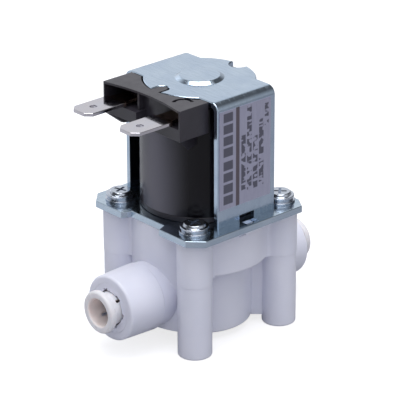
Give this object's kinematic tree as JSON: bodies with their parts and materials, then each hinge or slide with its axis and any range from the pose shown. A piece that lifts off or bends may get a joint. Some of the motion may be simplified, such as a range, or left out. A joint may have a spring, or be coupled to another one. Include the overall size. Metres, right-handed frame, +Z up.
{
  "type": "solenoid valve",
  "caption": "Small plastic-bodied water solenoid valve with push-in tube fittings on opposite sides and a steel-framed coil with blade terminals on top.",
  "frame": {"origin": "on the valve axis (coil and plunger axis), in the plane of the four feet", "axes": "+Z up along the plunger axis; flow runs along +X from the inlet at -X to the outlet at +X; the label plate of the yoke faces -Y"},
  "size_m": [0.0614, 0.0366, 0.06],
  "materials": {
    "body_plastic": "satin moulded acetal, white",
    "collet_plastic": "satin moulded acetal, white",
    "zinc_steel": "bright blue zinc plated",
    "screw_steel": "bright zinc plated",
    "black_plastic": "satin glass-filled nylon",
    "jacket_black": "glossy overmoulding",
    "copper_wire": "enamelled copper winding",
    "tinned_brass": "tin plated",
    "label_foil": "matt silver foil",
    "nylon": "moulded nylon",
    "rubber": "moulded",
    "stainless": "drawn stainless",
    "core_steel": "turned ferritic stainless"
  },
  "bodies": {
    "valve": {"valve_body": "body_plastic", "base_plate": "zinc_steel", "coil_yoke": "zinc_steel", "coil_bobbin": "black_plastic", "coil_winding": "copper_wire", "coil_jacket": "jacket_black", "terminal_left": "tinned_brass", "terminal_right": "tinned_brass", "plate_screws": "screw_steel", "lock_washers": "screw_steel", "flat_washers": "screw_steel", "label": "label_foil", "bonnet": "nylon", "bonnet_o_ring": "rubber", "guide_tube": "stainless", "fixed_core": "core_steel", "plunger_spring": "stainless", "diaphragm_membrane": "rubber", "outlet_retainer_cap": "body_plastic", "outlet_o_ring": "rubber", "inlet_retainer_cap": "body_plastic", "inlet_o_ring": "rubber"},
    "plunger": {"plunger": "core_steel", "plunger_seal": "rubber"},
    "diaphragm": {"diaphragm_hub": "nylon"},
    "inlet_collet": {"inlet_collet": "collet_plastic", "inlet_grip_ring": "stainless"},
    "outlet_collet": {"outlet_collet": "collet_plastic", "outlet_grip_ring": "stainless"}
  },
  "joints": [
    {"name": "plunger_lift", "type": "slide", "parent": "valve", "child": "plunger", "axis": [0, 0, 1], "range_m": [0, 0.0018], "stiffness_N_per_m": 250, "springref_m": -0.004, "deforming": ["plunger_spring"]},
    {"name": "diaphragm_lift", "type": "slide", "parent": "valve", "child": "diaphragm", "axis": [0, 0, 1], "range_m": [0, 0.0012], "deforming": ["diaphragm_membrane"]},
    {"name": "inlet_collet_slide", "type": "slide", "parent": "valve", "child": "inlet_collet", "axis": [1, 0, 0], "range_m": [0, 0.0015]},
    {"name": "outlet_collet_slide", "type": "slide", "parent": "valve", "child": "outlet_collet", "axis": [-1, 0, 0], "range_m": [0, 0.0015]}
  ],
  "couplings": [
    {"joint": "diaphragm_lift", "follows": "plunger_lift", "ratio": 0.6666}
  ]
}
